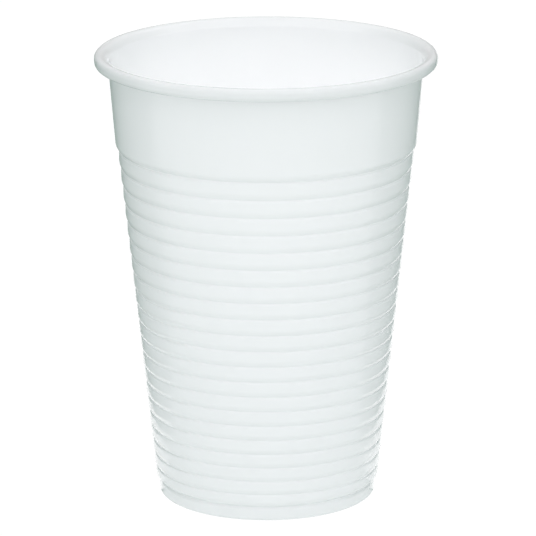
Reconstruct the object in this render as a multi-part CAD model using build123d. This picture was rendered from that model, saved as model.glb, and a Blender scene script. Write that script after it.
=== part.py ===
from build123d import *
import math
import os

# A ribbed throw-away drinking cup: one piece of thin white plastic sheet, formed over a mould.
# Millimetres, +Z up. The origin is the centre of the ring that the cup stands on.

# Driving dimensions
HEIGHT = 93.6
RIM_R = 35.15  # outside of the rolled rim
WALL = 0.25  # thickness of the sheet

# Rolled rim, a curl of the sheet that is open underneath
BEAD_HEIGHT = 2.6
BEAD_END_R = 33.0  # where the cut edge of the curl stops
BEAD_CREST_R = 33.3  # inner side of the crest
BEAD_FILLET = 0.75
CREST_FILLET = 1.3

# Smooth band below the rim
BAND_TOP_R = 32.38
BAND_TOP_Z = 91.85
BAND_FOOT_R = 30.95
BAND_FOOT_Z = 74.35
FLARE_FILLET = 0.8

# Rings, from the groove under the band down to the groove above the foot
RING_COUNT = 21
TOP_GROOVE_Z = 73.52
TOP_PITCH = 3.84
PITCH_STEP = 0.048  # each ring is this much lower than the one above it
RING_R_AT_FLOOR = 22.6
RING_TAPER = 0.105

# Shape of one ring, as shares of its own height
GROOVE_DEPTH = 0.08
LEDGE_HEIGHT = 0.1
KNEE_DROP = 0.78
GROOVE_FILLET = 0.05
LEDGE_FILLET = 0.2
KNEE_SHARE = 0.7  # part of the slope under a ring that its knee's rounding takes up

# Foot, and the base panel that stands clear of the table inside it
FOOT_R = 22.4
FOOT_GROOVE_R = 22.05
FOOT_LEDGE_Z = 2.4
FOOT_FILLET = 0.8
STAND_INNER_R = 20.4
STAND_INNER_FILLET = 0.5
PANEL_Z = 1.8
PANEL_R = 20.0
PANEL_FILLET = 0.6
DISC_Z = 2.4
DISC_R = 13.0
DISC_SLOPE = 0.8
DISC_FILLET = 0.7


def ring_r(z):
    """Outside radius of a ring at height z."""
    return RING_R_AT_FLOOR + RING_TAPER * z


def knee(r, z, groove):
    """Corner where an upright wall turns in towards the groove under it, with its fillet."""
    turn = math.atan2(r - groove[0], z - groove[1])
    slope = math.hypot(r - groove[0], z - groove[1])
    return (r, z, KNEE_SHARE * slope / math.tan(turn / 2))


def ring_corners(top_z, pitch, groove):
    """Corners of one ring from the groove under it up to the one above, each with its fillet."""
    ledge_z = top_z - LEDGE_HEIGHT * pitch
    radius = ring_r(ledge_z)
    return [
        knee(radius, top_z - KNEE_DROP * pitch, groove),
        (radius, ledge_z, LEDGE_FILLET * pitch),
        (radius - GROOVE_DEPTH * pitch, top_z, GROOVE_FILLET * pitch),
    ]


def base_corners():
    """Corners of the underside, from beside the axis out to the foot."""
    return [
        (DISC_R, DISC_Z, DISC_FILLET),
        (DISC_R + DISC_SLOPE, PANEL_Z, DISC_FILLET),
        (PANEL_R, PANEL_Z, PANEL_FILLET),
        (STAND_INNER_R, 0, STAND_INNER_FILLET),
        (FOOT_R, 0, FOOT_FILLET),
        (FOOT_R, FOOT_LEDGE_Z, LEDGE_FILLET * TOP_PITCH),
    ]


def rings_corners():
    """Corners of all the rings, from the foot up."""
    grooves = [TOP_GROOVE_Z]
    pitches = [TOP_PITCH - PITCH_STEP * i for i in range(RING_COUNT)]
    for pitch in pitches:
        grooves.append(grooves[-1] - pitch)
    corners = [(FOOT_GROOVE_R, grooves[-1], GROOVE_FILLET * pitches[-1])]
    for top_z, pitch in reversed(list(zip(grooves, pitches))):
        corners += ring_corners(top_z, pitch, corners[-1])
    return corners


def rim_corners(groove):
    """Corners of the band, the flare and the curl, all on the outside face of the sheet."""
    curl_top = HEIGHT - WALL
    curl_foot = HEIGHT - BEAD_HEIGHT + WALL
    curl_r = RIM_R - WALL
    return [
        knee(BAND_FOOT_R, BAND_FOOT_Z, groove),
        (BAND_TOP_R, BAND_TOP_Z, FLARE_FILLET),
        (BEAD_CREST_R, curl_top, CREST_FILLET),
        (curl_r, curl_top, BEAD_FILLET),
        (curl_r, curl_foot, BEAD_FILLET),
    ]


def heading(a, b):
    """Direction from one corner to the next, in radians."""
    return math.atan2(b[1] - a[1], b[0] - a[0])


def parallel(corners, gap):
    """The same line moved to its left by gap, with fillets that stay concentric."""
    headings = [heading(a, b) for a, b in zip(corners, corners[1:])]
    headings = [headings[0]] + headings + [headings[-1]]
    moved = []
    for (r, z, fillet), before, after in zip(corners, headings, headings[1:]):
        turn = math.remainder(after - before, math.tau)
        out = gap / math.cos(turn / 2)
        left = (before + turn / 2) + math.pi / 2
        radius = fillet - math.copysign(gap, turn) if fillet else 0
        moved.append((r + out * math.cos(left), z + out * math.sin(left), radius))
    return moved


def cup():
    """The sheet's section, turned about the axis."""
    outside = [(0, DISC_Z, 0)]
    outside += base_corners() + rings_corners()
    outside += rim_corners(outside[-1])
    outside += [(BEAD_END_R, HEIGHT - BEAD_HEIGHT + WALL, 0)]
    section = outside + parallel(outside, WALL)[::-1]
    points = [(r, z) for r, z, fillet in section]
    fillets = [fillet for r, z, fillet in section]
    outline = Plane.XZ * FilletPolyline(*points, radius=fillets, close=True)
    return revolve(make_face(outline.edges()), Axis.Z, 360)


os.makedirs("parts", exist_ok=True)
solid = cup()
solid.label = "cup"
export_step(solid, "parts/cup.step")
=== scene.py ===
import math

import bmesh
import bpy
from mathutils import Matrix, Vector


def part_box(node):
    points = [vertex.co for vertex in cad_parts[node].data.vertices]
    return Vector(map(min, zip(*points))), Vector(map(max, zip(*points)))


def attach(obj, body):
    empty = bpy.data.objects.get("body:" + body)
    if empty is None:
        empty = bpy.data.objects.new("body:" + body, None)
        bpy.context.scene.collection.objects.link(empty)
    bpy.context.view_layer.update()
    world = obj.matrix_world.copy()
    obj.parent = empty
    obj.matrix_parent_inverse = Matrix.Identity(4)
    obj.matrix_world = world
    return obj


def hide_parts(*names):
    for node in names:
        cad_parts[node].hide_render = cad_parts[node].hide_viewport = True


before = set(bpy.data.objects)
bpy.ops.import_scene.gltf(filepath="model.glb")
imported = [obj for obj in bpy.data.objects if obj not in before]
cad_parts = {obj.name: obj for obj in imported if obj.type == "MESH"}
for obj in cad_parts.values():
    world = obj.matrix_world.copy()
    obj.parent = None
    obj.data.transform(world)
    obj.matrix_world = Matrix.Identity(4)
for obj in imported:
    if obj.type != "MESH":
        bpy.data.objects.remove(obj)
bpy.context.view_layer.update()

# A ribbed throw-away drinking cup: one piece of thin white glossy plastic sheet.
# The section is worked out in millimetres, as (radius, height) pairs, and turned about Z in metres.
MM = 0.001
low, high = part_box("cup")
HEIGHT = high.z / MM
RIM_R = high.x / MM

# Sheet, and how finely its section and its turn are divided
WALL = 0.25
SEGMENTS = 168
ARC_STEP = math.radians(20)
MERGE_GAP = 1e-6

# Rolled rim, a curl of the sheet that is open underneath
BEAD_HEIGHT = 2.6
BEAD_END_R = 33.0
BEAD_CREST_R = 33.3
BEAD_FILLET = 0.75
CREST_FILLET = 1.3

# Smooth band below the rim
BAND_TOP = (32.38, 91.85)
BAND_FOOT = (30.95, 74.35)
FLARE_FILLET = 0.8

# Rings, from the groove under the band down to the groove above the foot
RING_COUNT = 21
TOP_GROOVE_Z = 73.52
TOP_PITCH = 3.84
PITCH_STEP = 0.048
RING_R_AT_FLOOR = 22.6
RING_TAPER = 0.105

# Shape of one ring, as shares of its own height
GROOVE_DEPTH = 0.08
LEDGE_HEIGHT = 0.1
KNEE_DROP = 0.78
GROOVE_FILLET = 0.05
LEDGE_FILLET = 0.2
KNEE_SHARE = 0.7

# Foot, and the base panel that stands clear of the table inside it
FOOT_R = 22.4
FOOT_GROOVE_R = 22.05
FOOT_LEDGE_Z = 2.4
FOOT_FILLET = 0.8
STAND_INNER_R = 20.4
STAND_INNER_FILLET = 0.5
PANEL_Z = 1.8
PANEL_R = 20.0
PANEL_FILLET = 0.6
DISC_Z = 2.4
DISC_R = 13.0
DISC_SLOPE = 0.8
DISC_FILLET = 0.7

# Plastic. A noise is its scale, its detail and its share of that scale along Z, where less is longer.
THIN_WHITE = (0.948, 0.956, 0.962)
THICK_WHITE = (0.967, 0.972, 0.978)
STREAKS = (70, 3, 0.25)
STREAK_SPAN = (0.3, 0.7)
GLOSS = (0.1, 0.17)
GLOSS_CLOUDS = (220, 4, 1)
RIPPLES = (420, 2, 0.5)
RIPPLE_STRENGTH = 0.15
RIPPLE_DEPTH = 0.00005
PLASTIC_IOR = 1.55
SUBSURFACE_SCALE = 0.0003

# Floor. The camera sees only the white one, which lights nothing. Two unseen ones just below it, in
# front of the cup and behind it, light the cup, with a bright strip that shines along its ledges.
WHITE_FLOOR = 40
WHITE_FLOOR_GLOW = 1.0
UNSEEN_FLOOR = 6
UNSEEN_FLOOR_Z = -0.001
FRONT_GLOW = 0.79
FRONT_TINT = (0.93, 1.0, 0.99)
REAR_GLOW = 0.22
SHADE_TINT = (0.62, 1.0, 0.85)
STRIP = ((-0.058, 0), (0.055, 0), (0.12, 0.3), (0.4, 1.6), (-0.25, 1.6), (-0.07, 0.3))
STRIP_Z = -0.0005
STRIP_GLOW = 1.1

# Room, a dim card far behind the cup, and a dark card at each side, between two bearings from the camera
CARD_ROUGHNESS = 0.9
ROOM_TINT = (0.955, 0.985, 1.0)
ROOM_GLOW = 0.945
BACK_SIZE = 2.2
BACK_PLACE = (0, 1.6, 1.0)
BACK_GLOW = 0.35
FLAGS = (("left_flag", -85, -150), ("right_flag", 91, 148))
FLAG_GLOW = 0.18
FLAG_R = 1.35
FLAG_HEIGHT = 1.2
FLAG_STEPS = 12

# Lamps: wide ones, by name, width, watts and place, and narrow ones that shine only into the cup
LAMP_TINT = (1.0, 0.95, 0.955)
LAMPS = (("key", 1.0, 1.2, (0, -0.55, 1.1)), ("rear", 0.6, 3.0, (0, 1.0, 0.8)))
SNOOTS = ((-0.42, -0.4, 1.1), (0.42, -0.4, 1.1))
SNOOT_WATTS = 19
SNOOT_ANGLE = 2.7
SNOOT_BLEND = 0.5
SNOOT_SIZE = 0.01
LIGHT_BOUNCES = 20  # light goes round inside a white cup many times

# Camera: metres, degrees down from level and of roll, and a lens in millimetres
CAMERA_PLACE = (0.00029, -0.900, 0.2941)
CAMERA_DOWN = 15.31
CAMERA_ROLL = -0.16
LENS = 302.6


def ring_r(z):
    """Outside radius of a ring at height z."""
    return RING_R_AT_FLOOR + RING_TAPER * z


def knee(r, z, groove):
    """Corner where an upright wall turns in towards the groove under it, with its fillet."""
    turn = math.atan2(r - groove[0], z - groove[1])
    slope = math.hypot(r - groove[0], z - groove[1])
    return (r, z, KNEE_SHARE * slope / math.tan(turn / 2))


def ring_corners(top_z, pitch, groove):
    """Corners of one ring from the groove under it up to the one above, each with its fillet."""
    ledge_z = top_z - LEDGE_HEIGHT * pitch
    radius = ring_r(ledge_z)
    return [
        knee(radius, top_z - KNEE_DROP * pitch, groove),
        (radius, ledge_z, LEDGE_FILLET * pitch),
        (radius - GROOVE_DEPTH * pitch, top_z, GROOVE_FILLET * pitch),
    ]


def base_corners():
    """Corners of the underside, from beside the axis out to the foot."""
    return [
        (DISC_R, DISC_Z, DISC_FILLET),
        (DISC_R + DISC_SLOPE, PANEL_Z, DISC_FILLET),
        (PANEL_R, PANEL_Z, PANEL_FILLET),
        (STAND_INNER_R, 0, STAND_INNER_FILLET),
        (FOOT_R, 0, FOOT_FILLET),
        (FOOT_R, FOOT_LEDGE_Z, LEDGE_FILLET * TOP_PITCH),
    ]


def rings_corners():
    """Corners of all the rings, from the foot up."""
    grooves = [TOP_GROOVE_Z]
    pitches = [TOP_PITCH - PITCH_STEP * i for i in range(RING_COUNT)]
    for pitch in pitches:
        grooves.append(grooves[-1] - pitch)
    corners = [(FOOT_GROOVE_R, grooves[-1], GROOVE_FILLET * pitches[-1])]
    for top_z, pitch in reversed(list(zip(grooves, pitches))):
        corners += ring_corners(top_z, pitch, corners[-1])
    return corners


def rim_corners(groove):
    """Corners of the band, the flare and the curl, all on the outside face of the sheet."""
    curl_top = HEIGHT - WALL
    curl_foot = HEIGHT - BEAD_HEIGHT + WALL
    curl_r = RIM_R - WALL
    return [
        knee(*BAND_FOOT, groove),
        (*BAND_TOP, FLARE_FILLET),
        (BEAD_CREST_R, curl_top, CREST_FILLET),
        (curl_r, curl_top, BEAD_FILLET),
        (curl_r, curl_foot, BEAD_FILLET),
    ]


def heading(a, b):
    """Direction from one corner to the next, in radians."""
    return math.atan2(b[1] - a[1], b[0] - a[0])


def parallel(corners, gap):
    """The same line moved to its left by gap, with fillets that stay concentric."""
    headings = [heading(a, b) for a, b in zip(corners, corners[1:])]
    headings = [headings[0]] + headings + [headings[-1]]
    moved = []
    for (r, z, fillet), before, after in zip(corners, headings, headings[1:]):
        turn = math.remainder(after - before, math.tau)
        out = gap / math.cos(turn / 2)
        left = (before + turn / 2) + math.pi / 2
        radius = fillet - math.copysign(gap, turn) if fillet else 0
        moved.append((r + out * math.cos(left), z + out * math.sin(left), radius))
    return moved


def rounded(corners):
    """Points along a line of corners, each corner replaced by the arc of its fillet."""
    points = [Vector(corners[0][:2])]
    for (r, z, fillet), before, after in zip(corners[1:], corners, corners[2:]):
        corner = Vector((r, z))
        into = heading(before, (r, z))
        turn = math.remainder(heading((r, z), after) - into, math.tau)
        if not fillet:
            points.append(corner)
            continue
        side = math.copysign(fillet, turn)
        start = corner - Vector((math.cos(into), math.sin(into))) * fillet * abs(math.tan(turn / 2))
        centre = start + Vector((-math.sin(into), math.cos(into))) * side
        steps = max(2, math.ceil(abs(turn) / ARC_STEP))
        for i in range(steps + 1):
            angle = into + turn * i / steps
            points.append(centre + Vector((math.sin(angle), -math.cos(angle))) * side)
    points.append(Vector(corners[-1][:2]))
    return points


def sheet_section():
    """Outside face of the sheet from the axis to the cut edge of the curl, and the inside face back."""
    outside = [(0, DISC_Z, 0)]
    outside += base_corners() + rings_corners()
    outside += rim_corners(outside[-1])
    outside += [(BEAD_END_R, HEIGHT - BEAD_HEIGHT + WALL, 0)]
    return rounded(outside) + rounded(parallel(outside, WALL))[::-1]


def add(name, data):
    """New object in the scene."""
    obj = bpy.data.objects.new(name, data)
    bpy.context.scene.collection.objects.link(obj)
    return obj


def turned(name, section):
    """Mesh object made by turning a section about the Z axis."""
    shape = bmesh.new()
    verts = [shape.verts.new((r * MM, 0, z * MM)) for r, z in section]
    edges = [shape.edges.new(pair) for pair in zip(verts, verts[1:])]
    bmesh.ops.spin(
        shape, geom=verts + edges, cent=(0, 0, 0), axis=(0, 0, 1),
        angle=math.tau, steps=SEGMENTS, use_merge=True,
    )
    bmesh.ops.remove_doubles(shape, verts=shape.verts, dist=MERGE_GAP)
    bmesh.ops.recalc_face_normals(shape, faces=shape.faces)
    for face in shape.faces:
        face.smooth = True
    mesh = bpy.data.meshes.new(name)
    shape.to_mesh(mesh)
    shape.free()
    obj = add(name, mesh)
    obj.modifiers.new("shading", "WEIGHTED_NORMAL")
    return obj


def white_plastic():
    """Glossy white polystyrene, thin enough for some light to come through."""
    mat = bpy.data.materials.new("white_plastic")
    mat.use_nodes = True
    nodes, links = mat.node_tree.nodes, mat.node_tree.links
    shader = nodes["Principled BSDF"]
    shader.inputs["IOR"].default_value = PLASTIC_IOR
    shader.inputs["Subsurface Weight"].default_value = 1.0
    shader.inputs["Subsurface Radius"].default_value = (1.0, 1.0, 1.0)
    shader.inputs["Subsurface Scale"].default_value = SUBSURFACE_SCALE
    place = nodes.new("ShaderNodeTexCoord").outputs["Object"]

    def noise(scale, detail, stretch):
        spread = nodes.new("ShaderNodeMapping")
        spread.inputs["Scale"].default_value = (1, 1, stretch)
        links.new(place, spread.inputs["Vector"])
        cloud = nodes.new("ShaderNodeTexNoise")
        cloud.inputs["Scale"].default_value = scale
        cloud.inputs["Detail"].default_value = detail
        links.new(spread.outputs["Vector"], cloud.inputs["Vector"])
        return cloud.outputs["Fac"]

    # Where the sheet was drawn thinner it is a little greyer, in soft upright streaks
    ramp = nodes.new("ShaderNodeValToRGB")
    for stop, position, colour in zip(ramp.color_ramp.elements, STREAK_SPAN, (THIN_WHITE, THICK_WHITE)):
        stop.position = position
        stop.color = (*colour, 1)
    links.new(noise(*STREAKS), ramp.inputs["Fac"])
    links.new(ramp.outputs["Color"], shader.inputs["Base Color"])
    gloss = nodes.new("ShaderNodeMapRange")
    gloss.inputs["To Min"].default_value = GLOSS[0]
    gloss.inputs["To Max"].default_value = GLOSS[1]
    links.new(noise(*GLOSS_CLOUDS), gloss.inputs["Value"])
    links.new(gloss.outputs["Result"], shader.inputs["Roughness"])
    ripple = nodes.new("ShaderNodeBump")
    ripple.inputs["Strength"].default_value = RIPPLE_STRENGTH
    ripple.inputs["Distance"].default_value = RIPPLE_DEPTH
    links.new(noise(*RIPPLES), ripple.inputs["Height"])
    links.new(ripple.outputs["Normal"], shader.inputs["Normal"])
    return mat


def card(name, verts, faces, glow, tint=(1, 1, 1)):
    """Black glowing card of the stage. The camera doesn't see it, unless the stage shows it again."""
    mesh = bpy.data.meshes.new(name)
    mesh.from_pydata(verts, [], faces)
    obj = add(name, mesh)
    obj.visible_camera = False
    mat = bpy.data.materials.new(name)
    mat.use_nodes = True
    shader = mat.node_tree.nodes["Principled BSDF"]
    shader.inputs["Base Color"].default_value = (0, 0, 0, 1)
    shader.inputs["Roughness"].default_value = CARD_ROUGHNESS
    shader.inputs["Emission Color"].default_value = (*tint, 1)
    shader.inputs["Emission Strength"].default_value = glow
    mesh.materials.append(mat)
    return obj


def square(name, size, place, glow, tint=(1, 1, 1), upright=False):
    """Square card with its middle at place, level or upright and facing the camera."""
    half = size / 2
    x, y, z = place
    corners = ((-half, -half), (half, -half), (half, half), (-half, half))
    verts = [(x + a, y, z + b) if upright else (x + a, y + b, z) for a, b in corners]
    return card(name, verts, [(0, 1, 2, 3)], glow, tint)


def flag(name, start, end):
    """Upright card curved about Z, between two bearings from the camera, that darkens one side."""
    verts = []
    for i in range(FLAG_STEPS + 1):
        bearing = math.radians(start + (end - start) * i / FLAG_STEPS)
        x, y = FLAG_R * math.sin(bearing), -FLAG_R * math.cos(bearing)
        verts += [(x, y, 0), (x, y, FLAG_HEIGHT)]
    faces = [(2 * i, 2 * i + 2, 2 * i + 3, 2 * i + 1) for i in range(FLAG_STEPS)]
    return card(name, verts, faces, FLAG_GLOW, SHADE_TINT)


def lamp(name, light, watts, place, aim_z):
    """Lamp that shines at a point on the cup's axis and makes no highlight of its own."""
    light.energy = watts
    light.color = LAMP_TINT
    obj = add(name, light)
    obj.location = place
    obj.rotation_euler = (Vector((0, 0, aim_z)) - obj.location).to_track_quat("-Z", "Y").to_euler()
    obj.visible_glossy = False


def soft_lamp(name, width, watts, place):
    """Round lamp that shines at the middle of the cup."""
    light = bpy.data.lights.new(name, "AREA")
    light.shape = "DISK"
    light.size = width
    lamp(name, light, watts, place, HEIGHT * MM / 2)


def snoot(name, place):
    """Narrow lamp that shines in at the mouth of the cup and misses the rim."""
    light = bpy.data.lights.new(name, "SPOT")
    light.spot_size = math.radians(SNOOT_ANGLE)
    light.spot_blend = SNOOT_BLEND
    light.shadow_soft_size = SNOOT_SIZE
    lamp(name, light, SNOOT_WATTS, place, HEIGHT * MM)


def stage():
    """Pale floor, soft room light, cards and lamps."""
    white = square("white_floor", WHITE_FLOOR, (0, 0, 0), WHITE_FLOOR_GLOW)
    white.visible_camera = True
    white.visible_diffuse = False
    white.visible_glossy = False
    white.visible_transmission = False
    white.visible_shadow = False
    square("floor_front", UNSEEN_FLOOR, (0, -UNSEEN_FLOOR / 2, UNSEEN_FLOOR_Z), FRONT_GLOW, FRONT_TINT)
    square("floor_rear", UNSEEN_FLOOR, (0, UNSEEN_FLOOR / 2, UNSEEN_FLOOR_Z), REAR_GLOW, SHADE_TINT)
    card("floor_strip", [(x, y, STRIP_Z) for x, y in STRIP], [tuple(range(len(STRIP)))], STRIP_GLOW)
    square("back_light", BACK_SIZE, BACK_PLACE, BACK_GLOW, upright=True)
    for name, start, end in FLAGS:
        flag(name, start, end)
    for name, width, watts, place in LAMPS:
        soft_lamp(name, width, watts, place)
    for i, place in enumerate(SNOOTS):
        snoot(f"snoot_{i}", place)
    world = bpy.data.worlds.new("studio")
    world.use_nodes = True
    world.node_tree.nodes["Background"].inputs["Color"].default_value = (*ROOM_TINT, 1)
    world.node_tree.nodes["Background"].inputs["Strength"].default_value = ROOM_GLOW
    bpy.context.scene.world = world


def camera():
    """Camera at the photograph's viewing angle."""
    obj = add("camera", bpy.data.cameras.new("camera"))
    obj.location = CAMERA_PLACE
    tilt = Matrix.Rotation(math.radians(90 - CAMERA_DOWN), 3, "X")
    roll = Matrix.Rotation(math.radians(CAMERA_ROLL), 3, "Z")
    obj.rotation_euler = (tilt @ roll).to_euler()
    obj.data.lens = LENS
    bpy.context.scene.camera = obj


cup = turned("cup_sheet", sheet_section())
cup.data.materials.append(white_plastic())
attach(cup, "root")
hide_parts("cup")

stage()
camera()
bpy.context.scene.view_settings.view_transform = "Standard"
bpy.context.scene.cycles.diffuse_bounces = LIGHT_BOUNCES
bpy.context.scene.cycles.max_bounces = LIGHT_BOUNCES
